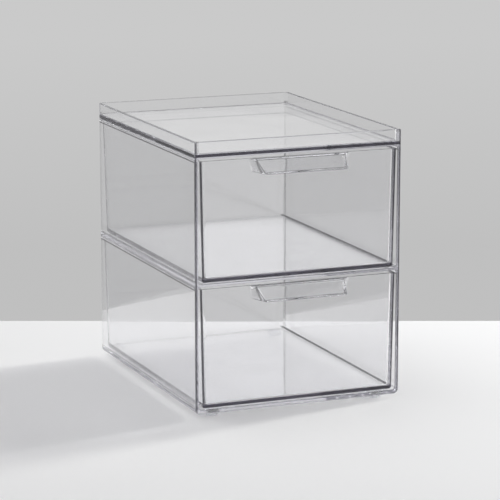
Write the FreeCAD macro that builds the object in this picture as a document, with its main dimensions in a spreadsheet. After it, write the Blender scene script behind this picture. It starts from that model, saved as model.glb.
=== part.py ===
import FreeCAD, Part
import Sketcher
import os
from FreeCAD import Vector

# Clear two-drawer box that stacks: one moulded case with a shelf and a raised rim,
# two moulded drawers with a hooded pull, and four soft feet.
# Millimetres, +Z up, the drawers open towards -Y, origin under the middle of the whole box.

doc = FreeCAD.newDocument("drawer_box")
sheet = doc.addObject("Spreadsheet::Sheet", "Sizes")

# Driving dimensions: alias, value, what it is.
DRIVING = [
    ("case_width", 170.0, "outside width of the case"),
    ("case_depth", 221.0, "outside depth of the case"),
    ("case_wall", 2.8, "side and back walls of the case"),
    ("case_floor", 3.4, "floor of the case"),
    ("shelf_plate", 2.2, "shelf between the two drawers"),
    ("top_plate", 4.0, "plate over the upper drawer"),
    ("case_bottom_round", 4.0, "rounding of the bottom edges of the case, at the sides and the back"),
    ("case_edge_round", 0.8, "rounding of the upright front corners of the case"),
    ("case_rear_round", 5.5, "rounding of the upright rear corners of the case"),
    ("bay_round", 2.6, "corner rounding of a drawer bay, seen from the front"),
    ("rim_height", 9.0, "rim above the top plate"),
    ("rim_wall", 2.6, "thickness of the rim"),
    ("rim_round", 0.9, "rounding along the top of the rim"),
    ("tray_round", 2.8, "inside corner rounding of the rim"),
    ("drawer_height", 93.2, "outside height of a drawer"),
    ("drawer_wall", 2.2, "side, front and rear walls of a drawer"),
    ("drawer_floor", 3.2, "floor of a drawer"),
    ("drawer_draft", 1.9, "how far each wall leans in from top to bottom"),
    ("drawer_bottom_round", 2.8, "rounding of the bottom edges of a drawer"),
    ("drawer_rear_round", 4.0, "rounding of the rear corners of a drawer"),
    ("drawer_front_round", 0.8, "rounding of the front corners of a drawer"),
    ("hollow_round", 2.4, "rounding of the upright corners inside a drawer"),
    ("hollow_floor_round", 1.6, "rounding between floor and walls inside a drawer"),
    ("drawer_top_gap", 1.9, "clearance over a drawer"),
    ("drawer_side_gap", 1.2, "clearance beside a drawer at its top"),
    ("drawer_rear_gap", 1.2, "clearance behind a drawer"),
    ("drawer_lift", 0.3, "running clearance under a drawer"),
    ("pull_width", 84.0, "width of the pull on the front wall, along its top edge"),
    ("pull_reach", 16.0, "how far the pull stands out"),
    ("pull_drop", 10.2, "height of the pull"),
    ("pull_brow", 1.5, "how far the pull stands out along its top edge"),
    ("pull_lean", 3.2, "how far each end of the pull leans in from top to bottom"),
    ("pull_flare", 5.0, "how far each cheek flares out from the pull's plate to the front wall"),
    ("pull_cheek", 2.6, "thickness of the pull's cheeks"),
    ("pull_web", 2.6, "thickness of the pull's plate, measured upright"),
    ("pull_fold_round", 3.2, "rounding between the pull's plate and cheeks"),
    ("foot_size", 12.0, "diameter of a foot"),
    ("foot_taper", 0.5, "how much the radius of a foot shrinks towards the ground"),
    ("foot_height", 3.5, "height of a foot"),
    ("foot_bevel", 0.8, "bevel of a foot's lower edge"),
    ("foot_side_inset", 16.5, "middle of a foot from the side of the case"),
    ("foot_end_inset", 10.5, "middle of a foot from the front or back of the case"),
    ("lip_share", 0.4, "rounding of the lip round a bay, as a share of the shelf"),
]

# Sizes that follow from the driving ones.
FOLLOWING = [
    ("case_front", "=(pull_reach - case_depth) / 2"),
    ("mouth_round", "=shelf_plate * lip_share"),
    ("bay_width", "=case_width - 2 * case_wall"),
    ("bay_depth", "=case_depth - case_wall"),
    ("bay_height", "=drawer_lift + drawer_height + drawer_top_gap"),
    ("bay_pitch", "=bay_height + shelf_plate"),
    ("case_height", "=case_floor + 2 * bay_height + shelf_plate + top_plate + rim_height"),
    ("drawer_width", "=bay_width - 2 * drawer_side_gap"),
    ("drawer_depth", "=bay_depth - drawer_rear_gap"),
    ("lower_drawer_z", "=foot_height + case_floor + drawer_lift"),
    ("upper_drawer_z", "=lower_drawer_z + bay_pitch"),
]


def fill_sheet():
    for row, (alias, value, meaning) in enumerate(DRIVING, start=1):
        sheet.set("A%d" % row, meaning)
        sheet.set("B%d" % row, str(value))
        sheet.setAlias("B%d" % row, alias)
    for row, (alias, formula) in enumerate(FOLLOWING, start=len(DRIVING) + 1):
        sheet.set("A%d" % row, alias)
        sheet.set("B%d" % row, formula)
        sheet.setAlias("B%d" % row, alias)
    doc.recompute()


def size(alias):
    return float(getattr(sheet, alias))


def from_sheet(formula):
    """Turn a formula written in aliases into one that other objects can read."""
    words = formula.replace("(", "( ").replace(")", " )").split()
    return " ".join("Sizes." + word if word[0].isalpha() else word for word in words)


def value_of(formula):
    return float(sheet.evalExpression(from_sheet(formula)))


def new_body(label, x="", y="", z=""):
    """A body whose place is bound to the sheet."""
    body = doc.addObject("PartDesign::Body", label)
    body.Label = label
    for axis, formula in (("x", x), ("y", y), ("z", z)):
        if formula:
            body.setExpression("Placement.Base." + axis, from_sheet(formula))
    return body


def origin_plane(body, role):
    return next(item for item in body.Origin.OriginFeatures if item.Role == role)


def hold_point(sketch, line, axis, formula):
    """Hold the start of a line at a distance from the sketch's origin, on either side of it."""
    behind = formula.startswith("-")
    distance = formula[1:].strip() if behind else formula
    if distance == "0":
        axis_line = -2 if axis == "X" else -1
        sketch.addConstraint(Sketcher.Constraint("PointOnObject", line, 1, axis_line))
        return
    ends = (line, 1, -1, 1) if behind else (-1, 1, line, 1)
    number = sketch.addConstraint(Sketcher.Constraint("Distance" + axis, *ends, value_of(distance)))
    sketch.setExpression("Constraints[%d]" % number, from_sheet(distance))


def outline(body, name, role, corners, offset=""):
    """A closed outline of straight sides whose corners are held by formulas."""
    sketch = body.newObject("Sketcher::SketchObject", name)
    sketch.AttachmentSupport = [(origin_plane(body, role), "")]
    sketch.MapMode = "FlatFace"
    if offset:
        sketch.setExpression("AttachmentOffset.Base.z", from_sheet(offset))

    def place(formula):
        return -value_of(formula[1:].strip()) if formula.startswith("-") else value_of(formula)

    points = [Vector(place(across), place(along), 0) for across, along in corners]
    for start, end in zip(points, points[1:] + points[:1]):
        sketch.addGeometry(Part.LineSegment(start, end), False)
    count = len(points)
    for line in range(count):
        sketch.addConstraint(Sketcher.Constraint("Coincident", line, 2, (line + 1) % count, 1))
    for line, (across, along) in enumerate(corners):
        hold_point(sketch, line, "X", across)
        hold_point(sketch, line, "Y", along)
    doc.recompute()
    return sketch


def rectangle(half_width, low, high):
    """Corners of a rectangle centred on the upright axis of its sketch."""
    return [("-" + half_width, low), (half_width, low), (half_width, high), ("-" + half_width, high)]


def feature(body, kind, name, profile, **settings):
    made = body.newObject("PartDesign::" + kind, name)
    made.Profile = profile
    for key, setting in settings.items():
        if isinstance(setting, str) and key in ("Length", "Radius", "Angle"):
            made.setExpression(key, from_sheet(setting))
        else:
            setattr(made, key, setting)
    profile.Visibility = False
    doc.recompute()
    return made


def round_edges(body, name, radius, chosen):
    """Round the edges of the body so far that a test of the edge picks out."""
    tip = body.Tip
    names = ["Edge%d" % number for number, edge in enumerate(tip.Shape.Edges, start=1) if chosen(edge)]
    if not names:
        raise RuntimeError(name + ": no edge to round")
    made = body.newObject("PartDesign::Fillet", name)
    made.Base = (tip, names)
    made.setExpression("Radius", from_sheet(radius))
    doc.recompute()
    return made


def near(a, b):
    tolerance_share = 1e-6
    return abs(a - b) <= tolerance_share * size("case_depth")


def ends_of(edge):
    return edge.Vertexes[0].Point, edge.Vertexes[-1].Point


def lies_at(edge, axis, place):
    """True when both ends of an edge lie in a plane square to X, Y or Z."""
    return all(near(getattr(point, axis), place) for point in ends_of(edge))


def runs_along(edge, axis):
    """True when an edge runs straight along X, Y or Z."""
    start, end = ends_of(edge)
    others = [other for other in "xyz" if other != axis]
    return not near(getattr(start, axis), getattr(end, axis)) and all(
        near(getattr(start, other), getattr(end, other)) for other in others)


def climbs(edge):
    start, end = ends_of(edge)
    return not near(start.z, end.z)


def lies_behind(edge, place):
    """True when both ends of an edge are nearer the back than a place along Y."""
    return all(point.y > place for point in ends_of(edge))


def stands_inside(point, half_width, front, rear):
    """True when a point is inside an upright box round the middle of the width."""
    return abs(point.x) < half_width and front < point.y < rear


def make_case():
    body = new_body("case", y="case_front", z="foot_height")

    # The block of the case, drawn from the front and run back.
    block = outline(body, "case_block", "XZ_Plane", rectangle("case_width / 2", "0", "case_height"))
    feature(body, "Pad", "case_body", block, Length="case_depth", Reversed=True)
    half_width = size("case_width") / 2
    round_edges(body, "case_rear_corners", "case_rear_round",
                lambda edge: runs_along(edge, "z") and lies_behind(edge, half_width))
    round_edges(body, "case_bottom_edges", "case_bottom_round",
                lambda edge: runs_along(edge, "y") and lies_at(edge, "z", 0))
    round_edges(body, "case_front_corners", "case_edge_round",
                lambda edge: runs_along(edge, "z") and lies_at(edge, "y", 0))

    # Two bays, cut from the front with the shelf left between them.
    for name, floor in (("lower_bay", "case_floor"), ("upper_bay", "case_floor + bay_pitch")):
        mouth = outline(body, name + "_mouth", "XZ_Plane",
                        rectangle("bay_width / 2", floor, floor + " + bay_height"))
        feature(body, "Pocket", name, mouth, Length="bay_depth")
    half_bay = size("bay_width") / 2
    round_edges(body, "bay_corners", "bay_round",
                lambda edge: runs_along(edge, "y")
                and any(lies_at(edge, "x", side) for side in (-half_bay, half_bay)))

    # The tray on top, which leaves the rim standing.
    tray = outline(body, "tray_outline", "XY_Plane",
                   rectangle("(case_width / 2 - rim_wall)", "rim_wall", "case_depth - rim_wall"),
                   offset="case_height")
    feature(body, "Pocket", "tray", tray, Length="rim_height")
    half_tray = half_width - size("rim_wall")
    round_edges(body, "tray_corners", "tray_round",
                lambda edge: runs_along(edge, "z")
                and any(lies_at(edge, "x", side) for side in (-half_tray, half_tray)))

    # Softened lips: round each mouth, and along the top of the rim.
    inside = half_width - size("case_wall") / 2
    low_lip, high_lip = value_of("case_floor / 2"), value_of("case_height - rim_height - top_plate / 2")
    round_edges(body, "bay_lips", "mouth_round",
                lambda edge: lies_at(edge, "y", 0) and all(
                    abs(point.x) < inside and low_lip < point.z < high_lip for point in ends_of(edge)))
    crest = size("case_height")
    round_edges(body, "rim_crest", "rim_round", lambda edge: lies_at(edge, "z", crest))
    return body


def drawer_plan(inset):
    """Corners of a drawer at its floor, seen from above and inset by its wall."""
    half = "(drawer_width / 2 - drawer_draft - %s)" % inset
    return rectangle(half, inset, "drawer_depth - drawer_draft - %s" % inset)


def lean_walls(body, name, half_width, rear, outside):
    """Lean the side and rear walls at these places outwards towards the top, as a mould needs."""
    def leans(face):
        middle = face.CenterOfMass
        upright = near(face.normalAt(0, 0).z, 0)
        beside = near(abs(middle.x), half_width)
        return upright and (beside or near(middle.y, rear))

    tip = body.Tip
    names = ["Face%d" % number for number, face in enumerate(tip.Shape.Faces, start=1) if leans(face)]
    made = body.newObject("PartDesign::Draft", name)
    made.Base = (tip, names)
    made.NeutralPlane = (origin_plane(body, "XY_Plane"), [""])
    made.Reversed = outside
    made.setExpression("Angle", "atan(Sizes.drawer_draft / Sizes.drawer_height)")
    doc.recompute()
    return made


def pull_plan(inset, reach):
    """Corners of the pull seen from above: wide on the front wall, narrower where its plate stands out."""
    root_half = "(pull_width / 2 - %s)" % inset
    plate_half = "(pull_width / 2 - pull_flare - %s)" % inset
    return [("-" + root_half, "0"), ("-" + plate_half, "-" + reach),
            (plate_half, "-" + reach), (root_half, "0")]


def make_drawer(label, height):
    body = new_body(label, y="case_front", z=height)

    # The outside: a tub that narrows towards its floor.
    plan = outline(body, label + "_plan", "XY_Plane", drawer_plan("0"))
    feature(body, "Pad", label + "_block", plan, Length="drawer_height")
    half_width = value_of("drawer_width / 2 - drawer_draft")
    depth = value_of("drawer_depth - drawer_draft")
    lean_walls(body, label + "_lean", half_width, depth, outside=True)
    round_edges(body, label + "_rear_corners", "drawer_rear_round",
                lambda edge: climbs(edge) and lies_behind(edge, depth / 2))
    round_edges(body, label + "_front_corners", "drawer_front_round",
                lambda edge: climbs(edge) and lies_at(edge, "y", 0))
    round_edges(body, label + "_bottom_edges", "drawer_bottom_round",
                lambda edge: lies_at(edge, "z", 0) and not lies_at(edge, "y", 0))

    # The inside of the tub, with walls that lean the same way.
    hollow = outline(body, label + "_hollow_plan", "XY_Plane", drawer_plan("drawer_wall"),
                     offset="drawer_height")
    feature(body, "Pocket", label + "_hollow", hollow, Length="drawer_height - drawer_floor")
    wall = size("drawer_wall")
    lean_walls(body, label + "_hollow_lean", half_width - wall, depth - wall, outside=False)
    floor_level = size("drawer_floor")
    in_hollow = (half_width - wall / 2, wall / 2, depth - wall / 2)
    round_edges(body, label + "_hollow_corners", "hollow_round",
                lambda edge: climbs(edge) and any(
                    near(point.z, floor_level) and stands_inside(point, *in_hollow)
                    for point in ends_of(edge)))
    round_edges(body, label + "_hollow_floor", "hollow_floor_round",
                lambda edge: lies_at(edge, "z", floor_level) and all(
                    stands_inside(point, *in_hollow) for point in ends_of(edge)))

    # The pull: a plate that slopes out and down from the top edge, with a flared cheek at each end.
    lip = outline(body, label + "_pull_lip", "XY_Plane", pull_plan("pull_lean", "pull_reach"),
                  offset="drawer_height - pull_drop")
    brow = outline(body, label + "_pull_brow", "XY_Plane", pull_plan("0", "pull_brow"),
                   offset="drawer_height")
    feature(body, "AdditiveLoft", label + "_pull", lip, Sections=[brow], Ruled=True)
    fold_front = -size("pull_brow") / 2
    round_edges(body, label + "_pull_folds", "pull_fold_round",
                lambda edge: climbs(edge) and all(point.y < fold_front for point in ends_of(edge)))

    # The hollow behind the pull's plate, open underneath for the fingers.
    under = outline(body, label + "_grip_low", "XY_Plane",
                    pull_plan("(pull_lean + pull_cheek)", "pull_reach"),
                    offset="drawer_height - pull_drop - pull_web")
    crown = outline(body, label + "_grip_high", "XY_Plane", pull_plan("pull_cheek", "pull_brow"),
                    offset="drawer_height - pull_web")
    feature(body, "SubtractiveLoft", label + "_grip", under, Sections=[crown], Ruled=True)
    return body


def make_foot(label, x, y):
    body = new_body(label, x=x, y=y)
    half = [("0", "0"), ("foot_size / 2 - foot_taper - foot_bevel", "0"),
            ("foot_size / 2 - foot_taper", "foot_bevel"), ("foot_size / 2", "foot_height"),
            ("0", "foot_height")]
    profile = outline(body, label + "_half", "XZ_Plane", half)
    feature(body, "Revolution", label + "_turned", profile,
            ReferenceAxis=(profile, ["V_Axis"]), Angle=360.0)
    return body


fill_sheet()
pieces = [make_case()]
for label in ("lower_drawer", "upper_drawer"):
    pieces.append(make_drawer(label, label + "_z"))
front_feet = "case_front + foot_end_inset"
rear_feet = "case_front + case_depth - foot_end_inset"
for end, along in (("front", front_feet), ("rear", rear_feet)):
    pieces.append(make_foot("foot_%s_left" % end, "foot_side_inset - case_width / 2", along))
    pieces.append(make_foot("foot_%s_right" % end, "case_width / 2 - foot_side_inset", along))
doc.recompute()

for item in doc.Objects:
    if any(state in item.State for state in ("Invalid", "Error")):
        raise RuntimeError("%s failed: %s" % (item.Label, item.State))
for piece in pieces:
    if piece.Shape.isNull() or not piece.Shape.isValid():
        raise RuntimeError(piece.Label + " has no valid shape")

os.makedirs("parts", exist_ok=True)
for piece in pieces:
    piece.Shape.exportStep("parts/%s.step" % piece.Label)
    print(piece.Label, piece.Shape.BoundBox, round(piece.Shape.Volume))
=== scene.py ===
import math

import bpy
from mathutils import Euler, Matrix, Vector


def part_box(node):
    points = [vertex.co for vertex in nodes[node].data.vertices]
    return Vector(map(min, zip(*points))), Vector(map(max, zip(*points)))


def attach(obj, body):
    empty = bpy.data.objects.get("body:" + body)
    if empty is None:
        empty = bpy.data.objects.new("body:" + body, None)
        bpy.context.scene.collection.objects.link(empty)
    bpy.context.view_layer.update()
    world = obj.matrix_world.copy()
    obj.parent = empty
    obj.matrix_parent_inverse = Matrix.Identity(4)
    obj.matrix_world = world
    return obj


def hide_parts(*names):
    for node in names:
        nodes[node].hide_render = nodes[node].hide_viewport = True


# A clear plastic box with two sliding drawers on a white table, in front of a plain grey wall.
# Metres, +Z up, the drawers open towards -Y.

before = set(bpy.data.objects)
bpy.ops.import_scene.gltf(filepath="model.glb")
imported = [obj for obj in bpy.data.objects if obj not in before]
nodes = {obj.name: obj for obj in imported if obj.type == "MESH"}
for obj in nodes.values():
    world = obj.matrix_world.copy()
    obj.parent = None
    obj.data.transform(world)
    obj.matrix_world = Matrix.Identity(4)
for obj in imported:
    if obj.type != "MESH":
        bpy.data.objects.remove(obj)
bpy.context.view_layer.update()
MM = 0.001
FAR = 1.0

# Where the photograph was taken from, worked out from the corners of the case.
CAMERA_PLACE = Vector((-0.746, -1.8165, 0.5115))
CAMERA_TURN = math.radians(22.374)
CAMERA_TILT = math.radians(11.69)
CAMERA_LENS_MM = 180.5
SENSOR_MM = 36.0

# How far from the camera the table ends, measured along the ground.
TABLE_END = 2.162
TABLE_WIDTH = 7.0
TABLE_DEPTH = 5.0

# Places on the case and the drawers, read from the frame.
CASE_LOW, CASE_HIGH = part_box("case")
LOWER_LOW, LOWER_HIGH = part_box("lower_drawer")
UPPER_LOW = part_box("upper_drawer")[0]
FRONT = CASE_LOW.y
DRAWER_PITCH = UPPER_LOW.z - LOWER_LOW.z
DRAWER_HEIGHT = LOWER_HIGH.z - LOWER_LOW.z
CASE_WALL = 2.8 * MM
BAY_ROUND = 2.6 * MM
RIM_HEIGHT = 9.0 * MM
TOP_PLATE = 4.0 * MM
DRAWER_FLOOR = 3.2 * MM
DRAWER_WALL = 2.2 * MM
HOLLOW_ROUND = 1.6 * MM
DRAWER_LEAN = 1.9 * MM
PULL_DROP = 10.2 * MM
PULL_FOLD_TOP = 37.0 * MM
PULL_FOLD_LEAN = 3.2 * MM
SHARP_EDGE_ROUND = 0.35 * MM

# How softly the painted shade lines end, and how deep below a surface they still count as lying on it.
LINE_SOFT = 0.25 * MM
CASE_SKIN = 1.0 * MM
BAY_SKIN = 0.6 * MM
CORNER_SKIN = 1.2 * MM
DRAWER_FRONT_SKIN = (0.4 * MM, 0.9 * MM)
PULL_SKIN = 0.6 * MM

# Where the painted shade lines on the case begin and end, from the edge that each follows.
CASE_WALL_SHARE = 0.60
PLATE_LOW_SHARE, PLATE_HIGH_SHARE = 0.74, 0.08
BAY_LINE_HALF = 0.65 * MM
CORNER_LINE = (4.4 * MM, 2.4 * MM)
TRAY_LINE_DEPTH = (1.6 * MM, 0.2 * MM)
TRAY_LINE_HEIGHT = (0.2 * MM, 1.8 * MM)
RIM_CREST = 0.6 * MM

# Where the painted shade lines on a drawer begin and end. Heights are counted from just below its underside.
UNDER_DRAWER = 0.2 * MM
DRAWER_WALL_SHARE = 0.80
FLOOR_LINE = (0.8 * MM, 1.9 * MM)
INNER_LINE = (0.2 * MM, 1.4 * MM)
FLOOR_OVERRUN = 0.8 * MM
DRAWER_CREST = 0.5 * MM
FOLD_LINE = (0.9 * MM, 0.3 * MM)
LIP_LINE = 0.5 * MM
BROW_LINE = 0.6 * MM

# How much of the light each painted shade line leaves.
CASE_WALL_LEFT = 0.06
PLATE_SIDE_LEFT = 0.03
BAY_LINE_LEFT = 0.02
CORNER_LEFT = 0.22
TRAY_LEFT = 0.35
CREST_LEFT = 0.55
SIDE_CREST_LEFT = 0.20
DRAWER_WALL_LEFT = 0.05
FLOOR_LINE_LEFT = 0.20
INNER_LINE_LEFT = 0.12
DRAWER_CREST_LEFT = 0.18
FOLD_LEFT = 0.25
LIP_LEFT = 0.50
BROW_LEFT = 0.30

# Colours, and the shares of lamplight that get past the plastic into its shadow.
PLASTIC_INSIDE = (0.36, 0.34, 0.52)
PLASTIC_DENSITY = 1.3
WALL_GREY = (0.590, 0.590, 0.590)
TABLE_WHITE = (0.848, 0.849, 0.851)
TABLE_CLOUD = (0.872, 0.872, 0.873)
CLEAR = (0.99, 0.99, 0.995)
RUBBER = (0.84, 0.85, 0.87)
RUBBER_CLOUD = (0.93, 0.93, 0.94)
# Painted shade: the dark violet painted on edges seen edge on. It stands in for the darkness that light lost
# inside the plastic gives them.
PAINTED_EDGE_SHADE = (0.0125, 0.011, 0.0178)
LIGHT_PAST_PLATE = (0.998, 0.998, 0.998)
LIGHT_PAST_SIDE = (0.89, 0.89, 0.895)
LIGHT_PAST_EDGE = (0.85, 0.85, 0.86)
CLEAR_BOUNCES = 64
SHADOW_CROSSINGS = 48


def deselect_all():
    if bpy.context.mode != "OBJECT":
        bpy.ops.object.mode_set(mode="OBJECT")
    bpy.ops.object.select_all(action="DESELECT")


def place_camera():
    camera = bpy.data.cameras.new("photo_camera")
    camera.lens = CAMERA_LENS_MM
    camera.sensor_width = SENSOR_MM
    camera.clip_end = 50.0
    holder = bpy.data.objects.new("photo_camera", camera)
    bpy.context.scene.collection.objects.link(holder)
    holder.location = CAMERA_PLACE
    holder.rotation_euler = Euler((math.radians(90) - CAMERA_TILT, 0.0, -CAMERA_TURN))
    bpy.context.scene.camera = holder


def light_room():
    """Grey wall that darkens towards the table, a paler band above it, a dim ceiling and left side."""
    world = bpy.data.worlds.new("room")
    bpy.context.scene.world = world
    world.use_nodes = True
    parts, links = world.node_tree.nodes, world.node_tree.links
    parts.clear()
    output = parts.new("ShaderNodeOutputWorld")
    background = parts.new("ShaderNodeBackground")
    direction = parts.new("ShaderNodeTexCoord")
    split = parts.new("ShaderNodeSeparateXYZ")
    links.new(direction.outputs["Generated"], split.inputs["Vector"])
    ramp = parts.new("ShaderNodeValToRGB")
    stops = ramp.color_ramp.elements
    stops[0].position, stops[0].color = 0.0, (*WALL_GREY, 1)
    stops[1].position, stops[1].color = 1.0, (0.22, 0.22, 0.23, 1)
    for place, shade in ((0.10, WALL_GREY), (0.18, (0.84, 0.84, 0.84)), (0.34, (0.92, 0.92, 0.94)),
                         (0.56, (0.30, 0.30, 0.32))):
        stop = stops.new(place)
        stop.color = (*shade, 1)
    links.new(split.outputs["Z"], ramp.inputs["Fac"])
    fade = parts.new("ShaderNodeMapRange")
    fade.interpolation_type = "SMOOTHSTEP"
    fade.inputs["From Min"].default_value = -0.75
    fade.inputs["From Max"].default_value = 0.0
    fade.inputs["To Min"].default_value = 0.50
    fade.inputs["To Max"].default_value = 1.0
    links.new(split.outputs["X"], fade.inputs["Value"])
    fall = parts.new("ShaderNodeMapRange")
    fall.inputs["From Min"].default_value = -0.20
    fall.inputs["From Max"].default_value = -0.12
    fall.inputs["To Min"].default_value = 0.89
    fall.inputs["To Max"].default_value = 1.0
    links.new(split.outputs["Z"], fall.inputs["Value"])
    shade = calculate(world.node_tree, "MULTIPLY", fade.outputs["Result"], fall.outputs["Result"])
    dimmed = parts.new("ShaderNodeVectorMath")
    dimmed.operation = "SCALE"
    links.new(ramp.outputs["Color"], dimmed.inputs[0])
    links.new(shade, dimmed.inputs["Scale"])
    links.new(dimmed.outputs["Vector"], background.inputs["Color"])
    path = parts.new("ShaderNodeLightPath")
    seen = parts.new("ShaderNodeMath")
    seen.operation = "MAXIMUM"
    links.new(path.outputs["Is Camera Ray"], seen.inputs[0])
    links.new(path.outputs["Is Transmission Ray"], seen.inputs[1])
    shown = parts.new("ShaderNodeMath")
    shown.operation = "MAXIMUM"
    links.new(seen.outputs[0], shown.inputs[0])
    links.new(path.outputs["Is Glossy Ray"], shown.inputs[1])
    strength = parts.new("ShaderNodeMapRange")
    strength.inputs["To Min"].default_value = 0.27
    strength.inputs["To Max"].default_value = 1.0
    links.new(shown.outputs[0], strength.inputs["Value"])
    links.new(strength.outputs["Result"], background.inputs["Strength"])
    links.new(background.outputs["Background"], output.inputs["Surface"])


def hang_lamp(name, place, target, width, height, power):
    lamp = bpy.data.lights.new(name, "AREA")
    lamp.shape = "RECTANGLE"
    lamp.size = width
    lamp.size_y = height
    lamp.energy = power
    holder = bpy.data.objects.new(name, lamp)
    bpy.context.scene.collection.objects.link(holder)
    holder.location = place
    aim = Vector(target) - Vector(place)
    holder.rotation_euler = aim.to_track_quat("-Z", "Y").to_euler()


def new_group(name, inputs, outputs):
    """An empty shader node group with its sockets, and what is needed to fill it."""
    group = bpy.data.node_groups.new(name, "ShaderNodeTree")
    for socket in inputs:
        kind = "NodeSocketVector" if socket == "Vector" else "NodeSocketFloat"
        group.interface.new_socket(socket, in_out="INPUT", socket_type=kind)
    for socket in outputs:
        group.interface.new_socket(socket, in_out="OUTPUT", socket_type="NodeSocketFloat")
    given = group.nodes.new("NodeGroupInput")
    result = group.nodes.new("NodeGroupOutput")
    return group, given.outputs, result.inputs


def calculate(tree, operation, first, second=0.0, clamp=False):
    """One step of arithmetic between sockets and plain numbers."""
    node = tree.nodes.new("ShaderNodeMath")
    node.operation = operation
    node.use_clamp = clamp
    for socket, value in zip(node.inputs, (first, second)):
        if isinstance(value, float):
            socket.default_value = value
        else:
            tree.links.new(value, socket)
    return node.outputs[0]


def blend(tree, share, first, second):
    """A colour between two others, which are sockets or plain colours."""
    node = tree.nodes.new("ShaderNodeMix")
    node.data_type = "RGBA"
    tree.links.new(share, node.inputs[0])
    for socket, colour in ((node.inputs[6], first), (node.inputs[7], second)):
        if isinstance(colour, tuple):
            socket.default_value = (*colour, 1)
        else:
            tree.links.new(colour, socket)
    return node.outputs[2]


def band_group():
    """Soft mask, one where a place lies between a low and a high limit."""
    group, given, result = new_group("band", ("Place", "Low", "High", "Softness"), ("Mask",))
    above = calculate(group, "SUBTRACT", given["Place"], given["Low"])
    below = calculate(group, "SUBTRACT", given["High"], given["Place"])
    above_share = calculate(group, "DIVIDE", above, given["Softness"], clamp=True)
    below_share = calculate(group, "DIVIDE", below, given["Softness"], clamp=True)
    group.links.new(calculate(group, "MULTIPLY", above_share, below_share), result["Mask"])
    return group


def moulded_group():
    """Slow swell of a moulded sheet, its faint haze and the hairlines that handling leaves."""
    group, given, result = new_group(
        "moulded_surface", ("Vector", "Swell", "Haze Low", "Haze High", "Hairlines"), ("Height", "Roughness"))
    swell = group.nodes.new("ShaderNodeTexNoise")
    swell.inputs["Detail"].default_value = 1.0
    group.links.new(given["Vector"], swell.inputs["Vector"])
    group.links.new(given["Swell"], swell.inputs["Scale"])
    group.links.new(swell.outputs["Fac"], result["Height"])
    haze = group.nodes.new("ShaderNodeTexNoise")
    haze.inputs["Scale"].default_value = 42.0
    haze.inputs["Detail"].default_value = 4.0
    group.links.new(given["Vector"], haze.inputs["Vector"])
    spread = group.nodes.new("ShaderNodeMapRange")
    spread.inputs["From Min"].default_value = 0.35
    spread.inputs["From Max"].default_value = 0.72
    group.links.new(haze.outputs["Fac"], spread.inputs["Value"])
    group.links.new(given["Haze Low"], spread.inputs["To Min"])
    group.links.new(given["Haze High"], spread.inputs["To Max"])
    stretch = group.nodes.new("ShaderNodeMapping")
    stretch.inputs["Rotation"].default_value = (0.3, 0.2, 0.5)
    stretch.inputs["Scale"].default_value = (700.0, 16.0, 700.0)
    group.links.new(given["Vector"], stretch.inputs["Vector"])
    streak = group.nodes.new("ShaderNodeTexNoise")
    streak.inputs["Scale"].default_value = 1.0
    streak.inputs["Detail"].default_value = 0.0
    group.links.new(stretch.outputs["Vector"], streak.inputs["Vector"])
    fine = calculate(group, "SUBTRACT", streak.outputs["Fac"], 0.74)
    line = calculate(group, "MULTIPLY", fine, 12.0, clamp=True)
    scuff = calculate(group, "MULTIPLY", line, given["Hairlines"])
    group.links.new(calculate(group, "ADD", spread.outputs["Result"], scuff), result["Roughness"])
    return group


BAND = band_group()
MOULDED_SURFACE = moulded_group()


def new_material(name):
    material = bpy.data.materials.new(name)
    material.use_nodes = True
    material.node_tree.nodes.clear()
    return material, material.node_tree


def table_finish():
    """Smooth white board, faintly cloudy, with a soft sheen that is a little uneven."""
    material, tree = new_material("table_white")
    output = tree.nodes.new("ShaderNodeOutputMaterial")
    surface = tree.nodes.new("ShaderNodeBsdfPrincipled")
    coordinates = tree.nodes.new("ShaderNodeTexCoord")
    cloud = tree.nodes.new("ShaderNodeTexNoise")
    cloud.inputs["Scale"].default_value = 3.0
    cloud.inputs["Detail"].default_value = 5.0
    tree.links.new(coordinates.outputs["Object"], cloud.inputs["Vector"])
    tree.links.new(blend(tree, cloud.outputs["Fac"], TABLE_WHITE, TABLE_CLOUD), surface.inputs["Base Color"])
    sheen = tree.nodes.new("ShaderNodeMapRange")
    sheen.inputs["To Min"].default_value = 0.50
    sheen.inputs["To Max"].default_value = 0.68
    tree.links.new(cloud.outputs["Fac"], sheen.inputs["Value"])
    tree.links.new(sheen.outputs["Result"], surface.inputs["Roughness"])
    surface.inputs["Specular IOR Level"].default_value = 0.3
    tree.links.new(surface.outputs["BSDF"], output.inputs["Surface"])
    return material


def lay_table():
    deselect_all()
    forward = Vector((math.sin(CAMERA_TURN), math.cos(CAMERA_TURN), 0))
    end = CAMERA_PLACE + forward * TABLE_END
    middle = end - forward * TABLE_DEPTH / 2
    bpy.ops.mesh.primitive_plane_add(size=1.0, location=(middle.x, middle.y, 0.0),
                                     rotation=(0, 0, -CAMERA_TURN))
    table = bpy.context.object
    table.name = "table"
    table.scale = (TABLE_WIDTH, TABLE_DEPTH, 1)
    bpy.ops.object.transform_apply(location=True, rotation=True, scale=True)
    table.data.materials.append(table_finish())


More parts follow.
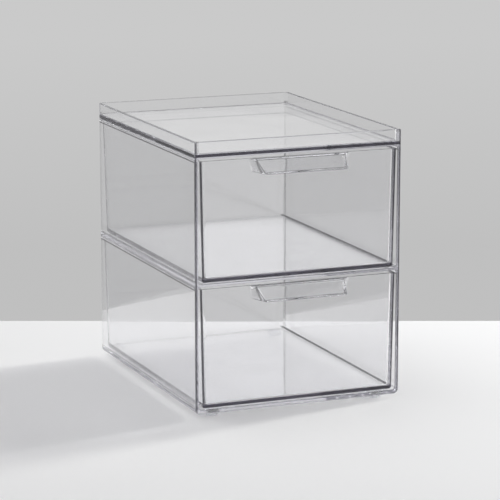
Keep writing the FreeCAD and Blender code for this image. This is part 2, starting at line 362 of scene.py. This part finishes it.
class EdgeMasks:
    """Masks over a piece by the place of a point on it and the way its surface faces."""

    def __init__(self, tree):
        self.tree = tree
        coordinates = tree.nodes.new("ShaderNodeTexCoord")
        self.vector = coordinates.outputs["Object"]
        place = tree.nodes.new("ShaderNodeSeparateXYZ")
        tree.links.new(self.vector, place.inputs["Vector"])
        facing = tree.nodes.new("ShaderNodeSeparateXYZ")
        tree.links.new(coordinates.outputs["Normal"], facing.inputs["Vector"])
        self.across = calculate(tree, "ABSOLUTE", place.outputs["X"])
        self.depth = place.outputs["Y"]
        self.height = place.outputs["Z"]
        self.faces_side = calculate(tree, "ABSOLUTE", facing.outputs["X"])
        self.faces_front = calculate(tree, "ABSOLUTE", facing.outputs["Y"])
        self.faces_up = calculate(tree, "ABSOLUTE", facing.outputs["Z"])

    def band(self, place, low, high, softness):
        node = self.tree.nodes.new("ShaderNodeGroup")
        node.node_tree = BAND
        self.tree.links.new(place, node.inputs["Place"])
        node.inputs["Low"].default_value = low
        node.inputs["High"].default_value = high
        node.inputs["Softness"].default_value = softness
        return node.outputs["Mask"]

    def both(self, *masks):
        result = masks[0]
        for mask in masks[1:]:
            result = calculate(self.tree, "MULTIPLY", result, mask)
        return result

    def strongest(self, *masks):
        result = masks[0]
        for mask in masks[1:]:
            result = calculate(self.tree, "MAXIMUM", result, mask)
        return result

    def painted_shade(self, mask, left):
        """Scale a mask so that the full painted shade leaves this share of the light."""
        return self.both(mask, (CLEAR[0] - left) / (CLEAR[0] - PAINTED_EDGE_SHADE[0]))


def case_painted_edge_shade(masks):
    """Painted shade lines on the front edges of the walls, the top plate edge on, and the corners of the
    bays, back and rim.
    """
    soft = LINE_SOFT
    half = CASE_HIGH.x
    plate_top = CASE_HIGH.z - RIM_HEIGHT
    at_front = masks.both(masks.faces_front, masks.band(masks.depth, -FAR, FRONT + CASE_SKIN, soft))
    at_side = masks.both(masks.faces_side, masks.band(masks.across, half - CASE_SKIN, FAR, soft))
    walls = masks.band(masks.across, half - CASE_WALL * CASE_WALL_SHARE, FAR, soft)
    plate = masks.band(masks.height, plate_top - TOP_PLATE * PLATE_LOW_SHARE,
                       plate_top - TOP_PLATE * PLATE_HIGH_SHARE, soft)
    bay_sides = masks.both(masks.faces_side,
                           masks.band(masks.across, -FAR, half - CASE_WALL + BAY_SKIN, soft))
    upper_bay_line = plate_top - TOP_PLATE - BAY_ROUND
    bay_lines = masks.strongest(*[
        masks.band(masks.height, level - BAY_LINE_HALF, level + BAY_LINE_HALF, soft)
        for level in (upper_bay_line, upper_bay_line - DRAWER_PITCH)])
    rear = CASE_HIGH.y
    rear_corners = masks.both(
        masks.band(masks.across, half - CORNER_SKIN, FAR, soft),
        masks.band(masks.depth, rear - CORNER_LINE[0], rear - CORNER_LINE[1], soft),
        masks.band(masks.height, -FAR, plate_top, soft))
    inner_rear = rear - CASE_WALL
    tray_rear = masks.both(
        masks.band(masks.depth, inner_rear - TRAY_LINE_DEPTH[0], inner_rear + TRAY_LINE_DEPTH[1], soft),
        masks.band(masks.height, plate_top - TRAY_LINE_HEIGHT[0], plate_top + TRAY_LINE_HEIGHT[1], soft))
    crest = masks.both(masks.faces_up, masks.band(masks.height, CASE_HIGH.z - RIM_CREST, FAR, soft))
    side_crest = masks.both(crest, masks.band(masks.across, half - CASE_WALL, FAR, soft))
    return masks.strongest(
        masks.painted_shade(masks.both(at_front, walls), CASE_WALL_LEFT),
        masks.both(at_front, plate),
        masks.painted_shade(masks.both(at_side, plate), PLATE_SIDE_LEFT),
        masks.painted_shade(masks.both(bay_sides, bay_lines), BAY_LINE_LEFT),
        masks.painted_shade(rear_corners, CORNER_LEFT),
        masks.painted_shade(tray_rear, TRAY_LEFT),
        masks.painted_shade(crest, CREST_LEFT),
        masks.painted_shade(side_crest, SIDE_CREST_LEFT))


def drawer_painted_edge_shade(masks):
    """Painted shade lines on the front edges of a drawer's walls and floor, its top edge, and the folds and
    lip of its pull.
    """
    tree = masks.tree
    soft = LINE_SOFT
    above = calculate(tree, "SUBTRACT", masks.height, LOWER_LOW.z - UNDER_DRAWER)
    climb = calculate(tree, "MODULO", above, DRAWER_PITCH)
    lean = calculate(tree, "MULTIPLY", climb, DRAWER_LEAN / DRAWER_HEIGHT)
    inward = calculate(tree, "SUBTRACT", masks.across, lean)
    foot_half = LOWER_HIGH.x - DRAWER_LEAN
    top = DRAWER_HEIGHT + UNDER_DRAWER
    at_front = masks.band(masks.depth, FRONT - DRAWER_FRONT_SKIN[0], FRONT + DRAWER_FRONT_SKIN[1], soft)
    at_side = masks.band(inward, foot_half - DRAWER_WALL, FAR, soft)
    walls = masks.band(inward, foot_half - DRAWER_WALL * DRAWER_WALL_SHARE, FAR, soft)
    floor_line = masks.band(climb, *FLOOR_LINE, soft)
    inner_side = masks.band(inward, foot_half - DRAWER_WALL - HOLLOW_ROUND, FAR, soft)
    inner_line = masks.band(climb, DRAWER_FLOOR + INNER_LINE[0], DRAWER_FLOOR + INNER_LINE[1], soft)
    floor = masks.band(climb, -FAR, DRAWER_FLOOR + FLOOR_OVERRUN, soft)
    crest = masks.both(masks.faces_up, masks.band(climb, top - DRAWER_CREST, FAR, soft))
    standing_out = masks.band(masks.depth, -FAR, FRONT - PULL_SKIN, soft)
    drop = calculate(tree, "SUBTRACT", top, climb)
    fold_lean = calculate(tree, "MULTIPLY", drop, PULL_FOLD_LEAN / PULL_DROP)
    from_fold = calculate(tree, "ADD", masks.across, fold_lean)
    fold = masks.band(from_fold, PULL_FOLD_TOP - FOLD_LINE[0], PULL_FOLD_TOP + FOLD_LINE[1], soft)
    lip = masks.band(drop, PULL_DROP - LIP_LINE, FAR, soft)
    brow = masks.band(drop, -FAR, BROW_LINE, soft)
    return masks.strongest(
        masks.painted_shade(masks.both(at_front, walls), DRAWER_WALL_LEFT),
        masks.both(at_front, floor),
        masks.painted_shade(masks.both(at_side, floor_line), FLOOR_LINE_LEFT),
        masks.painted_shade(masks.both(inner_side, inner_line), INNER_LINE_LEFT),
        masks.painted_shade(crest, DRAWER_CREST_LEFT),
        masks.painted_shade(masks.both(standing_out, fold), FOLD_LEFT),
        masks.painted_shade(masks.both(standing_out, lip), LIP_LEFT),
        masks.painted_shade(masks.both(standing_out, brow), BROW_LEFT))


def let_lamplight_past(tree, surface, output, colour):
    """Finish a see-through material whose shadow is only a pale one."""
    let_through = tree.nodes.new("ShaderNodeBsdfTransparent")
    tree.links.new(colour, let_through.inputs["Color"])
    path = tree.nodes.new("ShaderNodeLightPath")
    mix = tree.nodes.new("ShaderNodeMixShader")
    tree.links.new(path.outputs["Is Shadow Ray"], mix.inputs["Fac"])
    tree.links.new(surface.outputs["BSDF"], mix.inputs[1])
    tree.links.new(let_through.outputs["BSDF"], mix.inputs[2])
    tree.links.new(mix.outputs["Shader"], output.inputs["Surface"])


def clear_plastic(name, painted_shade_lines):
    """Polished clear plastic, with painted shade as dark lines along its edges, placed by position."""
    material, tree = new_material(name)
    output = tree.nodes.new("ShaderNodeOutputMaterial")
    surface = tree.nodes.new("ShaderNodeBsdfPrincipled")
    surface.inputs["IOR"].default_value = 1.5
    surface.inputs["Transmission Weight"].default_value = 1.0
    masks = EdgeMasks(tree)
    painted_edge_shade_mask = painted_shade_lines(masks)
    # Painted shade: the edge mask darkens the base colour towards the painted edge shade.
    tree.links.new(blend(tree, painted_edge_shade_mask, CLEAR, PAINTED_EDGE_SHADE), surface.inputs["Base Color"])
    moulded = tree.nodes.new("ShaderNodeGroup")
    moulded.node_tree = MOULDED_SURFACE
    tree.links.new(masks.vector, moulded.inputs["Vector"])
    moulded.inputs["Swell"].default_value = 16.0
    moulded.inputs["Haze Low"].default_value = 0.010
    moulded.inputs["Haze High"].default_value = 0.035
    moulded.inputs["Hairlines"].default_value = 0.07
    tree.links.new(moulded.outputs["Roughness"], surface.inputs["Roughness"])
    swell = tree.nodes.new("ShaderNodeBump")
    swell.inputs["Strength"].default_value = 0.5
    swell.inputs["Distance"].default_value = 0.25 * MM
    tree.links.new(moulded.outputs["Height"], swell.inputs["Height"])
    tree.links.new(swell.outputs["Normal"], surface.inputs["Normal"])
    past_walls = blend(tree, masks.faces_side, LIGHT_PAST_PLATE, LIGHT_PAST_SIDE)
    let_lamplight_past(tree, surface, output, blend(tree, painted_edge_shade_mask, past_walls, LIGHT_PAST_EDGE))
    inside = tree.nodes.new("ShaderNodeVolumeAbsorption")
    inside.inputs["Color"].default_value = (*PLASTIC_INSIDE, 1)
    inside.inputs["Density"].default_value = PLASTIC_DENSITY
    tree.links.new(inside.outputs["Volume"], output.inputs["Volume"])
    return material


def soft_rubber(name):
    """Milky clear rubber, matt and a little cloudy."""
    material, tree = new_material(name)
    output = tree.nodes.new("ShaderNodeOutputMaterial")
    surface = tree.nodes.new("ShaderNodeBsdfPrincipled")
    surface.inputs["IOR"].default_value = 1.42
    surface.inputs["Transmission Weight"].default_value = 0.8
    coordinates = tree.nodes.new("ShaderNodeTexCoord")
    cloud = tree.nodes.new("ShaderNodeTexNoise")
    cloud.inputs["Scale"].default_value = 260.0
    cloud.inputs["Detail"].default_value = 3.0
    tree.links.new(coordinates.outputs["Object"], cloud.inputs["Vector"])
    tree.links.new(blend(tree, cloud.outputs["Fac"], RUBBER, RUBBER_CLOUD), surface.inputs["Base Color"])
    moulded = tree.nodes.new("ShaderNodeGroup")
    moulded.node_tree = MOULDED_SURFACE
    tree.links.new(coordinates.outputs["Object"], moulded.inputs["Vector"])
    moulded.inputs["Swell"].default_value = 320.0
    moulded.inputs["Haze Low"].default_value = 0.24
    moulded.inputs["Haze High"].default_value = 0.36
    moulded.inputs["Hairlines"].default_value = 0.10
    tree.links.new(moulded.outputs["Roughness"], surface.inputs["Roughness"])
    swell = tree.nodes.new("ShaderNodeBump")
    swell.inputs["Strength"].default_value = 0.3
    swell.inputs["Distance"].default_value = 0.1 * MM
    tree.links.new(moulded.outputs["Height"], swell.inputs["Height"])
    tree.links.new(swell.outputs["Normal"], surface.inputs["Normal"])
    let_lamplight_past(tree, surface, output, blend(tree, cloud.outputs["Fac"], RUBBER, RUBBER_CLOUD))
    return material


def moulding(node, name, body, material):
    """A copy of a node with its seams joined, its sharp edges broken and its rounds smooth."""
    deselect_all()
    piece = bpy.data.objects.new(name, nodes[node].data.copy())
    bpy.context.scene.collection.objects.link(piece)
    piece.select_set(True)
    bpy.context.view_layer.objects.active = piece
    bpy.ops.object.mode_set(mode="EDIT")
    bpy.ops.mesh.select_all(action="SELECT")
    bpy.ops.mesh.remove_doubles(threshold=0.002 * MM)
    bpy.ops.mesh.dissolve_limited(angle_limit=math.radians(0.1))
    bpy.ops.mesh.select_all(action="DESELECT")
    bpy.ops.mesh.select_mode(type="EDGE")
    bpy.ops.mesh.edges_select_sharp(sharpness=math.radians(40))
    bpy.ops.mesh.bevel(offset=SHARP_EDGE_ROUND, segments=2, affect="EDGES", clamp_overlap=True)
    bpy.ops.object.mode_set(mode="OBJECT")
    bpy.ops.mesh.customdata_custom_splitnormals_clear()
    bpy.ops.object.shade_smooth_by_angle(angle=math.radians(50))
    flat_faces_stay_flat = piece.modifiers.new("flat_faces_stay_flat", "WEIGHTED_NORMAL")
    flat_faces_stay_flat.weight = 100
    flat_faces_stay_flat.keep_sharp = True
    bpy.ops.object.modifier_apply(modifier=flat_faces_stay_flat.name)
    piece.data.materials.clear()
    piece.data.materials.append(material)
    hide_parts(node)
    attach(piece, body)
    return piece


place_camera()
lay_table()
light_room()
hang_lamp("key", place=(2.36, 0.38, 1.55), target=(0, 0, 0.05), width=0.26, height=0.26, power=85)
hang_lamp("overhead", place=(-0.5, 0.7, 2.1), target=(-0.1, 0.3, 0.1), width=2.0, height=2.0, power=24)

case_plastic = clear_plastic("case_plastic", case_painted_edge_shade)
drawer_plastic = clear_plastic("drawer_plastic", drawer_painted_edge_shade)
foot_rubber = soft_rubber("foot_rubber")
moulding("case", "case_moulding", "case", case_plastic)
for level in ("upper", "lower"):
    moulding(level + "_drawer", level + "_drawer_moulding", level + "_drawer",
             drawer_plastic)
for end in ("front", "rear"):
    for side in ("left", "right"):
        foot = "foot_%s_%s" % (end, side)
        moulding(foot, foot + "_pad", "case", foot_rubber)

# Light crosses many clear walls. Caustics are off because shadow rays already carry the light past.
scene = bpy.context.scene
scene.view_settings.view_transform = "Standard"
scene.cycles.max_bounces = CLEAR_BOUNCES
scene.cycles.transmission_bounces = CLEAR_BOUNCES
scene.cycles.glossy_bounces = CLEAR_BOUNCES
scene.cycles.transparent_max_bounces = SHADOW_CROSSINGS
scene.cycles.caustics_reflective = False
scene.cycles.caustics_refractive = False
